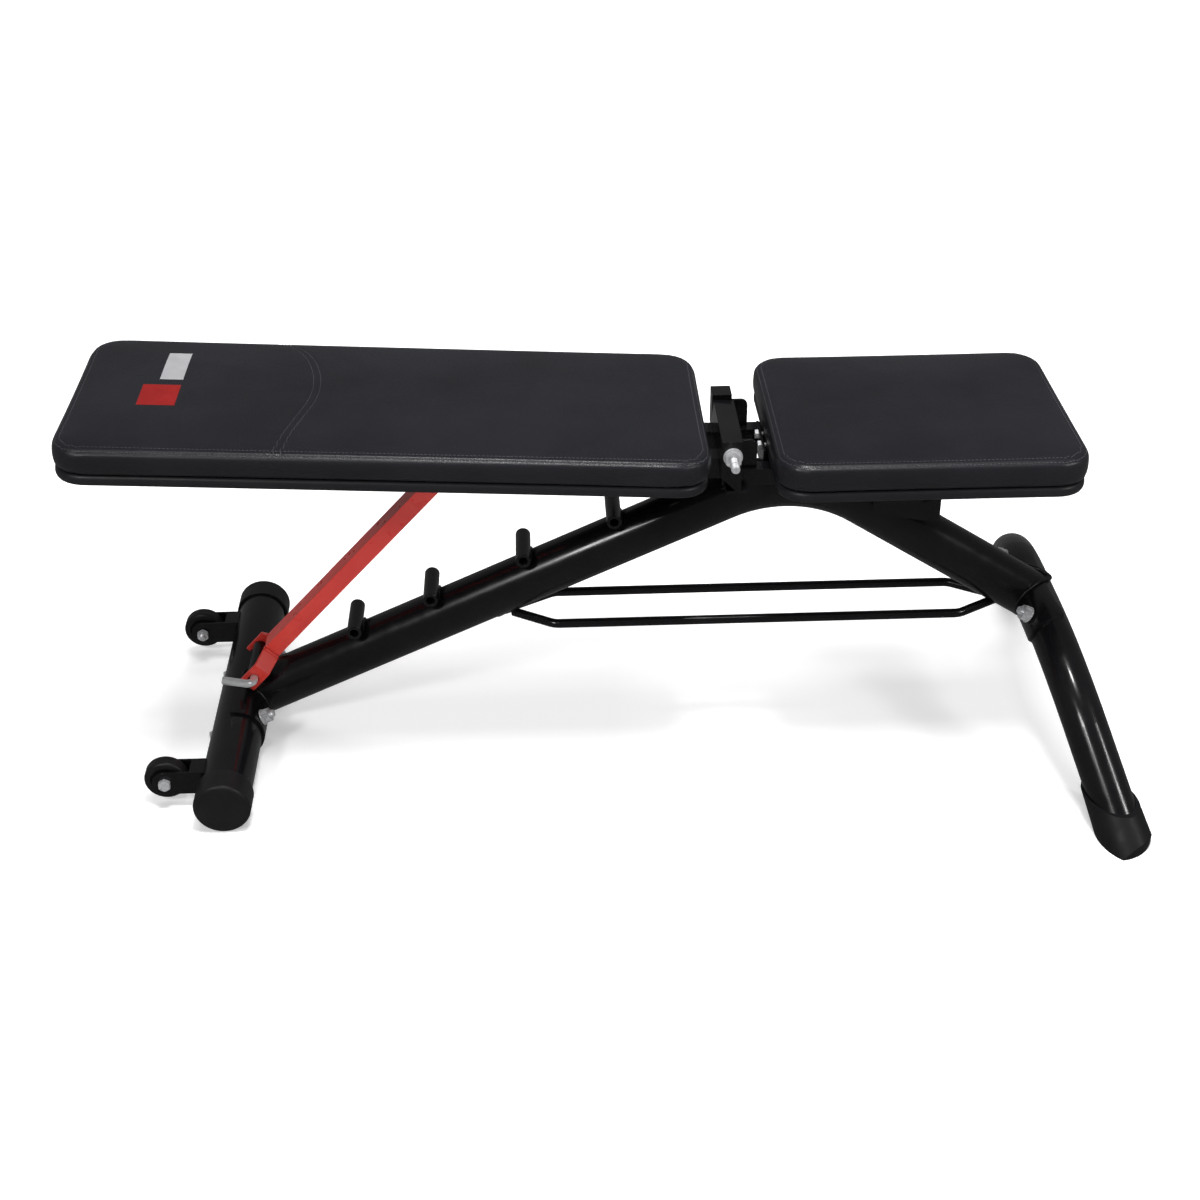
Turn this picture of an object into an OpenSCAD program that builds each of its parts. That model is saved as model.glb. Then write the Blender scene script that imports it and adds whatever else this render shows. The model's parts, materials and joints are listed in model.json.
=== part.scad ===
/* [Main frame] */
// Outside diameter of the bent main tube and of the rear cross tube
tube_d = 60; // [54:1:66]
// Wall thickness of the frame tubes
tube_wall = 2.5; // [2:0.5:3]
// Slope of the rear arm of the main tube, in degrees
rear_slope = 24.7; // [24:0.1:25.4]
// Slope of the front arm of the main tube, in degrees
front_slope = 32.6; // [32:0.1:33.2]
// Where the two arms would meet, measured forward from the origin
corner_x = 219; // [214:1:224]
// Centreline radius of the bend between the arms
bend_r = 170; // [150:1:180]

/* [Rear base] */
// Place of the rear cross tube, measured from the origin
rear_x = -454; // [-460:1:-448]
// Length of the rear cross tube over its end caps
rear_len = 452; // [420:2:500]
// Outside radius of the end caps, which rest on the floor
cap_r = 33; // [32:0.5:35]
// Length of an end cap
cap_len = 34; // [26:1:40]

/* [Front base] */
// Place of the middle of the front leg, measured from the origin
leg_x = 520.3; // [516:0.1:524]
// Height of the middle of the front leg
leg_z = 152.4; // [148:0.2:156]
// Outside diameter of the front leg
leg_d = 50; // [46:1:54]
// Forward lean of the front leg, in degrees
leg_lean = 19.3; // [16:0.1:22]
// Half the length of the level middle of the front leg
leg_flat = 42; // [36:1:48]
// Centreline radius of the two bends in the front leg
leg_bend = 211; // [205:1:216]
// Slope of the leg's straight ends, in degrees
leg_end_slope = 46.3; // [45:0.1:48]

/* [Transport wheels] */
// Wheel diameter
wheel_d = 50; // [44:1:54]
// Wheel width
wheel_w = 18; // [14:1:20]
// Distance of each wheel from the middle of the bench
wheel_y = 161; // [140:1:170]
// Distance of the wheel axis behind the rear cross tube
wheel_back = 72; // [66:1:76]

/* [Backrest] */
// Place of the hinge axis, measured from the origin
hinge_x = 135; // [133:0.5:137]
// Height of the hinge axis
hinge_z = 391; // [390:0.5:393]
// Fall of the backrest toward the hinge in its lowest place, in degrees
back_tilt = 3; // [2:0.5:4]
// Length of the back pad
back_len = 713; // [680:1:720]
// Width of both pads
pad_w = 294; // [280:1:310]
// Thickness of the boards under both pads
board_t = 13; // [10:1:16]
// Thickness of the cushions above the boards
cushion_t = 33; // [28:1:38]

/* [Seat] */
// Length of the seat pad
seat_len = 348; // [330:1:352]
// Height of the underside of the seat board
seat_z = 367.4; // [366:0.2:369]

/* [Adjuster] */
// Places of the five cross sleeves along the rear arm
sleeve_places = [40.7, 178, 281, 404, 522];
// Outside radius of a cross sleeve
sleeve_r = 9; // [8.5:0.1:9.5]
// Length of a cross sleeve
sleeve_len = 64; // [60:1:66]
// Diameter of the lock pin
pin_d = 10; // [9:0.5:10.5]
// Width of the strut channel
strut_w = 30; // [26:1:30]
// Depth of the strut channel
strut_h = 20; // [18:1:22]

/* [Storage rack] */
// Diameter of the rack rods
rod_d = 11; // [8:0.5:12]
// Distance of each rod from the middle of the bench
rod_y = 36; // [34:1:40]
// Height of the rods
rod_z = 152; // [148:1:155]

/* [Hidden] */
$fn = 64;
gap = 0.1;                          // clearance between pieces that are welded or pushed together
run = 0.05;                         // radial clearance of a running fit
lap = 1;                            // how far a straight piece runs into the bend beside it
inset = 0.05;                       // how much thinner a bend is, so that the straight piece covers its end
tube_r = tube_d / 2;
leg_r = leg_d / 2;
rear_z = cap_r;
corner_z = rear_z + (corner_x - rear_x) * tan(rear_slope);
half_bend = (rear_slope + front_slope) / 2;
bend_lean = 90 + (rear_slope - front_slope) / 2;
bend_x = corner_x - bend_r / cos(half_bend) * cos(bend_lean);
bend_z = corner_z - bend_r / cos(half_bend) * sin(bend_lean);
tangent = bend_r * tan(half_bend);
rear_arm_len = (corner_x - rear_x) / cos(rear_slope) - tangent;
front_arm_len = (leg_x - corner_x) / cos(front_slope) - tangent;
saddle_t = 3;
saddle_half = 80;                   // half the width of a saddle plate
saddle_wrap = 75;                   // how far a saddle wraps to each side of its arm, in degrees
bolt_r = 5;
rear_bolt_y = 65;
front_bolt_y = 68;
bend_clear = 1.6;                   // room under the front bolt heads and washers, for the bend of the leg
front_half = 92;                    // half the width of the front saddle, which has rounded corners
// The front leg lies in one leaning plane: a level middle, two bends and two straight ends.
leg_end = (leg_z / cos(leg_lean) - leg_bend * (1 - cos(leg_end_slope))) / sin(leg_end_slope);
foot_y = leg_flat + leg_bend * sin(leg_end_slope) + leg_end * cos(leg_end_slope);
foot_x = leg_x + leg_z * tan(leg_lean);
foot_rim = 36;                      // height of the level upper rim of a rubber foot
foot_reach = 37;                    // how far a foot's outer wall stands out from the middle of its base
wheel_x = rear_x - wheel_back;
wheel_z = 34;
fork_gap = wheel_w / 2 + 2;
fork_t = 3;
sleeve_off = tube_r + sleeve_r + gap;
rail_w = 25;                        // the back rails are square tubes
rail_in = 21;
rail_rear = -520;
rail_front = 0;
pad_under = -17;                    // underside of the back board below the hinge axis
pad_gap = 28.5;                     // from the hinge axis to the end of the back pad
cross_half = 46.5;
post_in = 48;
post_w = 25;
post_back = -12.5;
post_front = 10.5;
post_top = 18;
hinge_bolt_r = 5;
strut_top = [-296, -29.5];          // strut pivot from the hinge axis, in the backrest's own frame
strut_bolt_r = 5;
ear_in = 33.5;
ear_t = 4;
ear_half = 11;
ear_tail = 15;
channel_start = 30;
seat_rail_w = 20;
seat_rail_in = 40;
seat_x = hinge_x + 42;
seat_rail_x = hinge_x + post_front;
seat_rail_end = 386;
seat_base_z = seat_z - seat_rail_w;
plate_t = 4;
pin_x = sleeve_x(0);
pin_z = sleeve_height(0);
top_x = hinge_x + strut_top[0] * cos(back_tilt) + strut_top[1] * sin(back_tilt);
top_z = hinge_z - strut_top[0] * sin(back_tilt) + strut_top[1] * cos(back_tilt);
strut_len = sqrt(pow(top_x - pin_x, 2) + pow(top_z - pin_z, 2));
strut_slope = atan2(top_z - pin_z, top_x - pin_x);

function sleeve_x(i) = rear_x + sleeve_places[i] * cos(rear_slope) - sleeve_off * sin(rear_slope);
function sleeve_height(i) = rear_z + sleeve_places[i] * sin(rear_slope) + sleeve_off * cos(rear_slope);

// A cylinder along Y between two places
module bar_y(r, y0, y1) {
    translate([0, y1, 0]) rotate([90, 0, 0]) cylinder(r = r, h = y1 - y0);
}

// A side-view outline given thickness along Y between two places
module slab(y0, y1) {
    translate([0, y1, 0]) rotate([90, 0, 0]) linear_extrude(height = y1 - y0) children();
}

module both_sides() {
    children();
    mirror([0, 1, 0]) children();
}

// A hexagon head or nut along Y, measured across its flats
module hex_y(flats, y0, y1) {
    translate([0, y1, 0]) rotate([90, 0, 0]) cylinder(r = flats / 2 / cos(30), h = y1 - y0, $fn = 6);
}

module rear_arm(r) {
    translate([rear_x, 0, rear_z]) rotate([0, 90 - rear_slope, 0]) cylinder(r = r, h = rear_arm_len + lap);
}

module front_arm(r) {
    translate([corner_x, 0, corner_z]) rotate([0, 90 + front_slope, 0])
        translate([0, 0, tangent - lap]) cylinder(r = r, h = front_arm_len + lap);
}

// A round bar along the centreline of the main tube
module main_sweep(r) {
    rear_arm(r);
    translate([bend_x, 0, bend_z]) rotate([90, 0, 0]) rotate([0, 0, 90 - front_slope])
        rotate_extrude(angle = rear_slope + front_slope) translate([bend_r, 0]) circle(r = r - inset);
    front_arm(r);
}

module main_tube() {
    color("#17171a")
    difference() {
        main_sweep(tube_r);
        main_sweep(tube_r - tube_wall);
        translate([rear_x, 0, rear_z]) bar_y(tube_r + saddle_t + 2 * gap, -60, 60);
        translate([leg_x, 0, leg_z]) bar_y(leg_r + saddle_t + 5 * gap, -60, 60);
    }
}

// The frame of a cross bolt at a saddle: X runs along the arm, away from the cross tube
module rear_bolt_frame() {
    translate([rear_x, 0, rear_z]) rotate([0, -rear_slope, 0])
        for (s = [-1, 1]) translate([0, s * rear_bolt_y, 0]) children();
}

module front_bolt_frame() {
    drop = leg_bend - sqrt(pow(leg_bend, 2) - pow(front_bolt_y - leg_flat, 2));
    translate([leg_x + drop * sin(leg_lean), 0, leg_z - drop * cos(leg_lean)])
        rotate([0, front_slope + 180, 0])
            for (s = [-1, 1]) translate([0, s * front_bolt_y, 0]) children();
}

module bolt_hole() {
    rotate([0, 90, 0]) cylinder(r = bolt_r + 0.2, h = 120, center = true);
}

module rear_saddle() {
    color("#17171a")
    difference() {
        translate([rear_x, saddle_half, rear_z]) rotate([90, 0, 0])
            rotate([0, 0, rear_slope - saddle_wrap]) rotate_extrude(angle = 2 * saddle_wrap)
                translate([tube_r + gap, 0]) square([saddle_t, 2 * saddle_half]);
        rear_bolt_frame() bolt_hole();
    }
}

module leg_frame() {
    translate([leg_x, 0, leg_z]) rotate([0, -leg_lean, 0]) children();
}

// A round bar along the leg, the ends of which reach below the floor
module leg_solid(r) {
    leg_frame() bar_y(r, -leg_flat - lap, leg_flat + lap);
    both_sides() leg_frame() translate([0, -leg_flat, -leg_bend]) rotate([90, 0, 90]) rotate([0, 0, 90])
        rotate_extrude(angle = leg_end_slope) translate([leg_bend, 0]) circle(r = r - inset);
    both_sides() leg_tip_frame() translate([0, 0, -lap]) cylinder(r = r, h = leg_end + 60);
}

// The straight end of the leg on the right, with Z running down along the leg
module leg_tip_frame() {
    leg_frame() translate([0, -leg_flat - leg_bend * sin(leg_end_slope), -leg_bend * (1 - cos(leg_end_slope))])
        rotate([90 + leg_end_slope, 0, 0]) children();
}

module front_saddle() {
    color("#17171a")
    difference() {
        intersection() {
            leg_solid(leg_r + gap + saddle_t);
            translate([leg_x, 0, leg_z]) rotate([0, front_slope - 90, 0])
                rounded_plate(-27, 54, 2 * front_half, 0, 45, 20);
        }
        leg_solid(leg_r + gap);
        front_bolt_frame() bolt_hole();
    }
}

module rear_cross_tube() {
    color("#17171a")
    difference() {
        translate([rear_x, 0, rear_z]) bar_y(tube_r, 5 - rear_len / 2, rear_len / 2 - 5);
        translate([rear_x, 0, rear_z]) bar_y(tube_r - tube_wall, -rear_len / 2, rear_len / 2);
        rear_bolt_frame() bolt_hole();
    }
}

// A push-on cap with a rounded outer edge and a bead around its mouth
module end_cap() {
    edge = 5;
    translate([rear_x, -rear_len / 2, rear_z]) rotate([-90, 0, 0]) rotate_extrude() difference() {
        union() {
            translate([0, edge]) square([cap_r, cap_len - edge]);
            square([cap_r - edge, edge + 1]);
            translate([cap_r - edge, edge]) circle(r = edge);
        }
        translate([0, edge]) square([tube_r + gap / 2, cap_len]);
        translate([-edge, -1]) square([edge, cap_len + edge]);
    }
}

module rear_cap_right() {
    color("#202022") end_cap();
}

module rear_cap_left() {
    color("#202022") mirror([0, 1, 0]) end_cap();
}

module below(z) {
    translate([leg_x - 200, -500, z - 200]) cube([400, 1000, 200]);
}

module front_leg_tube() {
    color("#17171a")
    difference() {
        leg_solid(leg_r);
        leg_solid(leg_r - tube_wall);
        below(14);
        front_bolt_frame() bolt_hole();
    }
}

// A rubber foot that widens toward the floor, with an upright outer wall and a level base
module foot() {
    difference() {
        intersection() {
            leg_tip_frame() translate([0, 0, leg_end - 100]) cylinder(r1 = leg_r + 1.8, r2 = leg_r + 7.2, h = 150);
            translate([foot_x - 18.5, 50 - foot_y - foot_reach, 0]) union() {
                cylinder(r = 50, h = foot_rim);
                translate([-50, 0, 0]) cube([100, 100, foot_rim]);
            }
        }
        difference() {
            leg_tip_frame() translate([0, 0, leg_end - 80]) cylinder(r = leg_r + gap / 2, h = 200);
            below(13);
        }
    }
}

module front_foot_right() {
    color("#202022") foot();
}

module front_foot_left() {
    color("#202022") mirror([0, 1, 0]) foot();
}

// Places a bolt set with the nut side at the saddle and the head on the far side of the tube
module frame_bolt(r) {
    rotate([0, 90, 0]) translate([0, 0, -r - gap]) union() {
        cylinder(r = bolt_r, h = 2 * r + saddle_t + 16);
        translate([0, 0, -6]) cylinder(r = 8.5 / cos(30), h = 6, $fn = 6);
    }
}

module frame_washer(r) {
    rotate([0, 90, 0]) translate([0, 0, r + saddle_t + 3 * gap]) difference() {
        cylinder(r = 10, h = 2);
        translate([0, 0, -1]) cylinder(r = bolt_r + 0.2, h = 4);
    }
}

module frame_nut(r) {
    rotate([0, 90, 0]) translate([0, 0, r + saddle_t + 2 + 4 * gap]) difference() {
        cylinder(r = 8.5 / cos(30), h = 8, $fn = 6);
        translate([0, 0, -1]) cylinder(r = bolt_r + gap, h = 10);
    }
}

module frame_bolts() {
    color("#b9bcc0") rear_bolt_frame() frame_bolt(tube_r);
    color("#b9bcc0") front_bolt_frame() frame_bolt(leg_r + bend_clear);
}

module frame_washers() {
    color("#b9bcc0") rear_bolt_frame() frame_washer(tube_r);
    color("#b9bcc0") front_bolt_frame() frame_washer(leg_r + bend_clear);
}

module frame_nuts() {
    color("#b9bcc0") rear_bolt_frame() frame_nut(tube_r);
    color("#b9bcc0") front_bolt_frame() frame_nut(leg_r + bend_clear);
}

// A U-shaped fork on the back of the cross tube, open at the top and bottom
module wheel_fork() {
    half_h = 15;
    translate([0, -wheel_y, 0]) difference() {
        union() {
            for (s = [-1, 1]) translate([0, s * (fork_gap + fork_t / 2), 0]) slab(-fork_t / 2, fork_t / 2) {
                translate([wheel_x, wheel_z]) circle(r = half_h);
                translate([wheel_x, wheel_z - half_h]) square([wheel_back - 15, 2 * half_h]);
            }
            translate([rear_x - 43, -fork_gap - fork_t, wheel_z - half_h])
                cube([20, 2 * (fork_gap + fork_t), 2 * half_h]);
        }
        translate([rear_x, 0, rear_z]) bar_y(tube_r + gap, -60, 60);
        translate([wheel_x, 0, wheel_z]) bar_y(4.2, -60, 60);
    }
}

module wheel_fork_right() {
    color("#17171a") wheel_fork();
}

module wheel_fork_left() {
    color("#17171a") mirror([0, 1, 0]) wheel_fork();
}

// A moulded wheel with a rounded tread, a recessed web on each side and a hub
module wheel() {
    r = wheel_d / 2;
    half = wheel_w / 2;
    edge = 4;
    translate([wheel_x, -wheel_y, wheel_z]) rotate([90, 0, 0]) rotate_extrude() difference() {
        union() {
            translate([0, -half]) square([r - edge, wheel_w]);
            translate([0, edge - half]) square([r, wheel_w - 2 * edge]);
            for (s = [-1, 1]) translate([r - edge, s * (half - edge)]) circle(r = edge);
            translate([0, -half - 1.5]) square([8, wheel_w + 3]);
        }
        for (s = [-1, 1]) translate([11, s > 0 ? half - 3 : -half - 1]) square([6, 4]);
        translate([-r, -half - 3]) square([r + 4 + run, wheel_w + 6]);
    }
}

module wheel_right() {
    color("#202022") wheel();
}

module wheel_left() {
    color("#202022") mirror([0, 1, 0]) wheel();
}

module wheel_bolts() {
    out = wheel_y + fork_gap + fork_t + gap;
    inside = wheel_y - fork_gap - fork_t;
    color("#b9bcc0") both_sides() translate([wheel_x, 0, wheel_z]) {
        bar_y(4, -out, 14 - inside);
        hex_y(13, -out - 5.5, -out);
    }
}

module wheel_nuts() {
    inside = wheel_y - fork_gap - fork_t - gap;
    color("#b9bcc0") both_sides() translate([wheel_x, 0, wheel_z]) difference() {
        union() {
            bar_y(8.5, -inside, 2 - inside);
            hex_y(13, 1.9 - inside, 8.5 - inside);
        }
        bar_y(4 + gap, -wheel_y, 0);
    }
}

module sleeve(i) {
    color("#17171a") translate([sleeve_x(i), 0, sleeve_height(i)]) difference() {
        bar_y(sleeve_r, -sleeve_len / 2, sleeve_len / 2);
        bar_y(pin_d / 2 + 0.08, -sleeve_len, sleeve_len);
    }
}

module sleeve_1() { sleeve(0); }
module sleeve_2() { sleeve(1); }
module sleeve_3() { sleeve(2); }
module sleeve_4() { sleeve(3); }
module sleeve_5() { sleeve(4); }

// A bent pin: a straight shank along Y and a handle that turns to the rear
module lock_pin() {
    turn = 10;
    shank_end = 47;
    bend_y = -41;
    handle = 27;
    r = pin_d / 2;
    rise = 12;
    color("#c9ccd0") translate([pin_x, 0, pin_z]) rotate([0, rise, 0]) {
        bar_y(r, bend_y, shank_end - 2);
        translate([0, shank_end, 0]) rotate([90, 0, 0]) cylinder(r1 = r - 1.5, r2 = r, h = 2);
        translate([-turn, bend_y, 0]) rotate([0, 0, -90]) rotate_extrude(angle = 90) translate([turn, 0]) circle(r = r);
        translate([-turn, bend_y - turn, 0]) rotate([0, -90, 0]) cylinder(r = r, h = handle - 1);
        translate([-turn - handle + 1, bend_y - turn, 0]) rotate([0, -90, 0]) cylinder(r1 = r, r2 = r - 1, h = 1);
    }
}

// The turned-in end of a rack rod: a bend and a slanted straight piece
module rod_end(x, in_slope, turn, side) {
    translate([x, -rod_y + turn, rod_z]) rotate([0, 0, -90])
        rotate_extrude(angle = in_slope) translate([turn, 0]) circle(r = rod_d / 2 - inset);
    translate([x + turn * sin(in_slope), -rod_y + turn * (1 - cos(in_slope)), rod_z])
        rotate([0, 90, in_slope]) translate([0, 0, -lap]) cylinder(r = rod_d / 2, h = side);
}

// One rod of the rack: a straight run with both ends turned in to the middle under the main tube
module rack_rod() {
    rear = -62;
    front = 414;
    turn = 22;
    in_slope = 31;
    side = (rod_y - 6 - turn * (1 - cos(in_slope))) / sin(in_slope);
    r = rod_d / 2;
    difference() {
        union() {
            translate([rear - lap, -rod_y, rod_z]) rotate([0, 90, 0]) cylinder(r = r, h = front - rear + 2 * lap);
            rod_end(front, in_slope, turn, side);
            mirror([1, 0, 0]) rod_end(-rear, in_slope, turn, side);
        }
        rear_arm(tube_r + gap);
        front_arm(tube_r + gap);
    }
}

module rack_rod_right() {
    color("#17171a") rack_rod();
}

module rack_rod_left() {
    color("#17171a") mirror([0, 1, 0]) rack_rod();
}

// Two box posts on a base plate, which a block joins to the top of the main tube
module hinge_yoke() {
    base_z = seat_base_z - hinge_z;
    color("#17171a") difference() {
        union() {
            translate([hinge_x, 0, hinge_z]) both_sides() difference() {
                slab(-post_in - post_w, -post_in)
                    polygon([[post_back, post_top], [post_front, post_top], [post_front, base_z],
                             [4, base_z], [post_back, base_z + 17]]);
                slab(-post_in - post_w + 3, -post_in - 3)
                    polygon([[post_back + 3, post_top - 3], [post_front - 3, post_top - 3],
                             [post_front - 3, base_z - 1], [3, base_z - 1], [post_back + 3, base_z + 14]]);
            }
            translate([hinge_x - 6, -post_in - post_w, seat_base_z - plate_t])
                cube([24, 2 * (post_in + post_w), plate_t]);
            translate([hinge_x - 6, -22, seat_base_z - 45]) cube([24, 44, 45]);
        }
        main_sweep(tube_r + gap);
        translate([hinge_x, 0, hinge_z]) bar_y(hinge_bolt_r + gap, -100, 100);
    }
}

module hinge_bolt() {
    out = post_in + post_w + 2.6;
    color("#b9bcc0") translate([hinge_x, 0, hinge_z]) {
        bar_y(hinge_bolt_r, -out - 31, out);
        hex_y(17, out, out + 6.5);
    }
}

module hinge_washers() {
    out = post_in + post_w;
    color("#b9bcc0") translate([hinge_x, 0, hinge_z]) both_sides() difference() {
        bar_y(11, -out - 2.5, -out - gap);
        bar_y(hinge_bolt_r + 0.2, -out - 4, -out + 1);
    }
}

module hinge_nut() {
    out = post_in + post_w + 2.6;
    color("#b9bcc0") translate([hinge_x, 0, hinge_z]) difference() {
        hex_y(17, -out - 8.5, -out);
        bar_y(hinge_bolt_r + gap, -out - 12, -out + 1);
    }
}

// Flanged plastic bushes pressed into the ends of the hinge sleeve
module hinge_bushes() {
    color("#e8e6df") translate([hinge_x, 0, hinge_z]) both_sides() difference() {
        union() {
            bar_y(11, -cross_half - 1.2, -cross_half - gap);
            bar_y(hinge_bolt_r + 2, -cross_half - gap, -cross_half + 18);
        }
        bar_y(hinge_bolt_r + run, -cross_half - 3, -cross_half + 30);
    }
}

module hinge_sleeve() {
    color("#17171a") translate([hinge_x, 0, hinge_z]) difference() {
        bar_y(9.5, -cross_half, cross_half);
        bar_y(hinge_bolt_r + 2 + run, -cross_half - 1, cross_half + 1);
    }
}

module back_frame() {
    translate([hinge_x, 0, hinge_z]) rotate([0, back_tilt, 0]) children();
}

module hinge_cross_tube() {
    color("#17171a") back_frame() difference() {
        translate([-12, -cross_half, pad_under]) cube([24, 2 * cross_half, 29.5]);
        translate([-9.5, -cross_half - 1, pad_under + 2.5]) cube([19, 2 * cross_half + 2, 24.5]);
    }
}

// A square tube under the back board, with holes for the strut bolt and the pad screws
module back_rail() {
    wall = 2;
    back_frame() difference() {
        translate([rail_rear, -rail_in - rail_w, pad_under - rail_w])
            cube([rail_front - rail_rear, rail_w, rail_w - gap]);
        translate([rail_rear - 1, -rail_in - rail_w + wall, pad_under - rail_w + wall])
            cube([rail_front - rail_rear - 4, rail_w - 2 * wall, rail_w - gap - 2 * wall]);
        translate([strut_top[0], 0, strut_top[1]]) bar_y(strut_bolt_r + 0.2, -60, 60);
        for (x = back_screw_places()) translate([x, -rail_in - rail_w / 2, -60]) cylinder(r = 3.4, h = 60);
    }
}

function back_screw_places() = [-90, -450];
function seat_screw_places() = [seat_x + 30, seat_x + 180];

module back_rail_right() {
    color("#17171a") back_rail();
}

module back_rail_left() {
    color("#17171a") mirror([0, 1, 0]) back_rail();
}

module rounded_plate(x0, length, width, z0, height, r) {
    translate([x0, -width / 2, z0]) {
        translate([r, 0, 0]) cube([length - 2 * r, width, height]);
        translate([0, r, 0]) cube([length, width - 2 * r, height]);
        for (x = [r, length - r], y = [r, width - r]) translate([x, y, 0]) cylinder(r = r, h = height);
    }
}

module back_board() {
    color("#1c1c20") back_frame() difference() {
        rounded_plate(-pad_gap - back_len + 2, back_len - 4, pad_w - 4, pad_under, board_t, 34);
        for (x = back_screw_places(), s = [-1, 1])
            translate([x, s * (rail_in + rail_w / 2), pad_under - 1]) cylinder(r = 3.1, h = 10);
    }
}

module back_pad() {
    color("#26262b") back_frame()
        rounded_plate(-pad_gap - back_len, back_len, pad_w, pad_under + board_t + gap, cushion_t, 36);
}

// Screws that come up through a rail into a board
module pad_screw(rail) {
    translate([0, 0, -rail]) cylinder(r = 3, h = rail + 8);
    translate([0, 0, -rail - 4.5]) cylinder(r = 5 / cos(30), h = 4.5, $fn = 6);
}

module back_screws() {
    color("#b9bcc0") back_frame() for (x = back_screw_places(), s = [-1, 1])
        translate([x, s * (rail_in + rail_w / 2), pad_under]) pad_screw(rail_w + gap);
}

// The strut's own frame: X runs up along the strut from the lock pin
module strut_frame() {
    translate([pin_x, 0, pin_z]) rotate([0, -strut_slope, 0]) children();
}

module strut_channel() {
    wall = 2.5;
    half = strut_w / 2;
    color("#c8322d") strut_frame() difference() {
        union() {
            translate([channel_start, -half, -strut_h / 2]) cube([strut_len - channel_start, strut_w, strut_h]);
            translate([strut_len, 0, 0]) bar_y(strut_h / 2, -half, half);
        }
        translate([channel_start - 1, -half + wall, -strut_h / 2 - 1])
            cube([strut_len, strut_w - 2 * wall, strut_h + 1 - wall]);
        translate([strut_len - 12, -half + wall, -strut_h]) cube([40, strut_w - 2 * wall, 2 * strut_h]);
        translate([strut_len, 0, 0]) bar_y(strut_bolt_r + run, -half - 1, half + 1);
    }
}

// A bent plate that steps out past the sleeves; its tail is an open hook that drops over the pin
module strut_ear() {
    half = strut_w / 2;
    step = channel_start - 14;
    strut_frame() difference() {
        translate([0, 0, -ear_half]) linear_extrude(height = 2 * ear_half)
            polygon([[-ear_tail, -ear_in], [step, -ear_in], [channel_start, -half + 3],
                     [channel_start - gap, -half + 0.5 - ear_t], [step, -ear_in - ear_t],
                     [-ear_tail, -ear_in - ear_t]]);
        bar_y(pin_d / 2 + 0.4, -60, 60);
        translate([-40, -60, -pin_d / 2 - 0.4]) cube([40, 120, pin_d + 0.8]);
        translate([channel_start - gap, -60, -30]) cube([60, 120, 60]);
    }
}

module strut_ear_right() {
    color("#c8322d") strut_ear();
}

module strut_ear_left() {
    color("#c8322d") mirror([0, 1, 0]) strut_ear();
}

module strut_bush() {
    half = strut_w / 2 - 2.5 - gap;
    color("#c8322d") strut_frame() translate([strut_len, 0, 0]) difference() {
        bar_y(8, -half, half);
        bar_y(strut_bolt_r + run, -20, 20);
    }
}

module strut_bolt_frame() {
    back_frame() translate([strut_top[0], 0, strut_top[1]]) children();
}

module strut_bolt() {
    out = rail_in + rail_w + gap;
    color("#b9bcc0") strut_bolt_frame() {
        bar_y(strut_bolt_r, -out - 14, out);
        hex_y(17, out, out + 6.5);
    }
}

module strut_nut() {
    out = rail_in + rail_w + gap;
    color("#b9bcc0") strut_bolt_frame() difference() {
        hex_y(17, -out - 9, -out);
        bar_y(strut_bolt_r + gap, -out - 12, -out + 1);
    }
}

module strut_spacers() {
    color("#e8e6df") strut_bolt_frame() both_sides() difference() {
        bar_y(8, -rail_in + gap, -strut_w / 2 - 0.3);
        bar_y(strut_bolt_r + 0.2, -30, 0);
    }
}

module seat_rail() {
    wall = 2;
    difference() {
        translate([seat_rail_x + gap, -seat_rail_in - seat_rail_w, seat_base_z])
            cube([seat_rail_end - seat_rail_x, seat_rail_w, seat_rail_w - gap]);
        translate([seat_rail_x + 4, -seat_rail_in - seat_rail_w + wall, seat_base_z + wall])
            cube([seat_rail_end, seat_rail_w - 2 * wall, seat_rail_w - gap - 2 * wall]);
        for (x = seat_screw_places())
            translate([x, -seat_rail_in - seat_rail_w / 2, seat_base_z - 5]) cylinder(r = 3.4, h = 40);
    }
}

module seat_rail_right() {
    color("#17171a") seat_rail();
}

module seat_rail_left() {
    color("#17171a") mirror([0, 1, 0]) seat_rail();
}

// Upright plates with rounded tops that stand on the seat rails beside the hinge
module seat_side_plates() {
    width = 19;
    top = 34;
    color("#17171a") translate([seat_rail_x + gap, 0, seat_z]) both_sides() slab(-54, -50) {
        square([width, top - 8]);
        translate([0, top - 9]) square([width - 8, 9]);
        translate([width - 8, top - 8]) circle(r = 8);
    }
}

// An angle across the rails that holds the end of the seat board
module seat_end_bracket() {
    color("#17171a") difference() {
        union() {
            translate([seat_x - 3.2, -38, seat_z - 16]) cube([3, 76, 28]);
            translate([seat_x - 3.2, -seat_rail_in + gap, seat_z - 19]) cube([24, 2 * (seat_rail_in - gap), 3]);
        }
        for (s = [-1, 1]) translate([seat_x - 10, s * 14, seat_z + 7]) rotate([0, 90, 0]) cylinder(r = 3.2, h = 20);
        main_sweep(tube_r + gap);
    }
}

// Two side plates and a cross plate that carry the front of the seat on the front arm
module seat_front_bracket() {
    x0 = 306;
    x1 = seat_rail_end;
    color("#17171a") difference() {
        union() {
            both_sides() slab(-30, -27)
                polygon([[x0, seat_base_z - plate_t - gap], [x1, seat_base_z - plate_t - gap], [x1, 275], [x0, 288]]);
            translate([x0, -seat_rail_in - seat_rail_w, seat_base_z - plate_t - gap])
                cube([x1 - x0, 2 * (seat_rail_in + seat_rail_w), plate_t]);
        }
        main_sweep(tube_r + gap);
        for (p = rivet_places()) translate([p[0], 0, p[1]]) bar_y(3.2, -40, 40);
        for (x = seat_screw_places(), s = [-1, 1])
            translate([x, s * (seat_rail_in + seat_rail_w / 2), seat_base_z - 10]) cylinder(r = 7, h = 20);
    }
}

function rivet_places() = [[345, 318], [370, 302]];

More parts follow.
